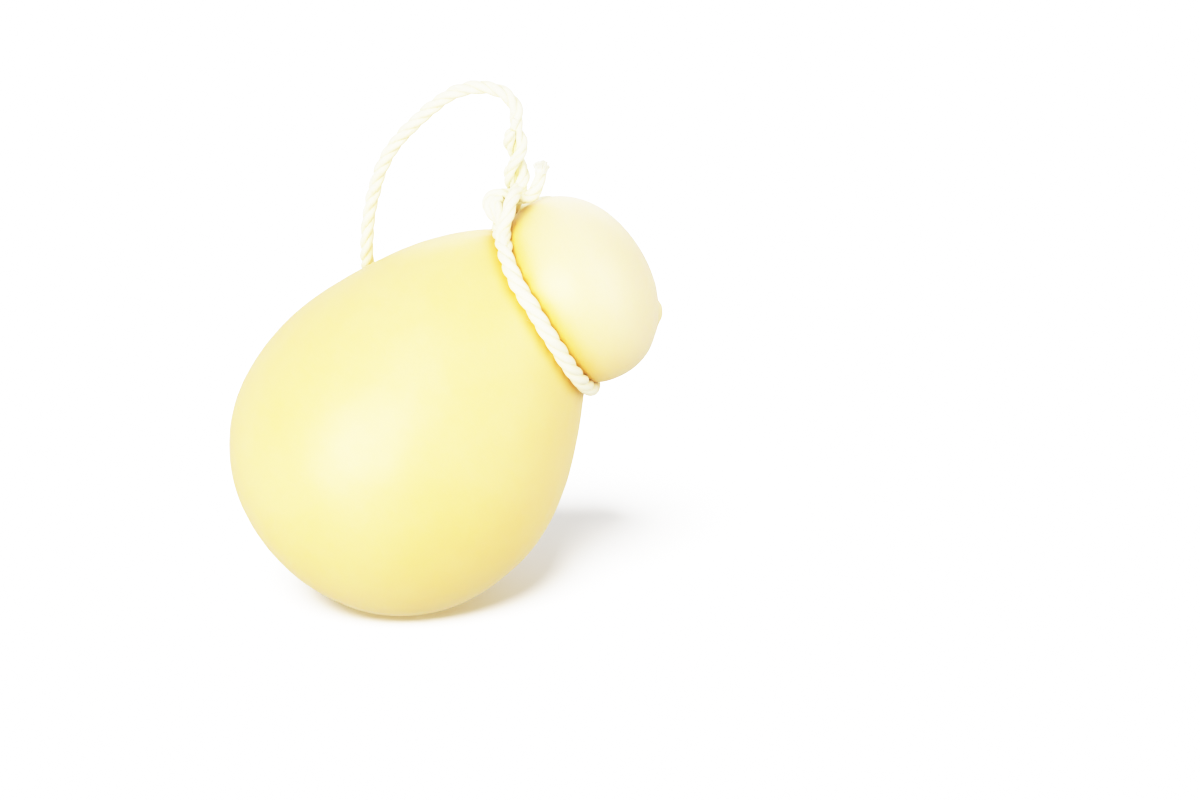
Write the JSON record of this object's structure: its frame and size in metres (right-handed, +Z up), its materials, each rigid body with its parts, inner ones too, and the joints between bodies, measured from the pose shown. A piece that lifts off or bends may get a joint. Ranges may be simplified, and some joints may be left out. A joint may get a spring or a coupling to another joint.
{
  "type": "caciocavallo cheese",
  "caption": "Egg-shaped stretched-curd cheese lying on its side, with a round head above a neck tied with cord, a knot and a hanging loop.",
  "frame": {"origin": "centre of the small flat spot that the cheese rests on, at the table", "axes": "+Z up, +X the way the neck and head lean, -Y the side that shows, with the hanging loop behind at +Y"},
  "size_m": [0.1474, 0.1155, 0.1805],
  "materials": {
    "rind": "smooth thin cheese rind with a soft waxy sheen",
    "cord": "pale twisted plant-fibre cord"
  },
  "bodies": {
    "root": {"cheese": "rind", "neck_tie": "cord", "hanging_loop": "cord"}
  },
  "joints": []
}
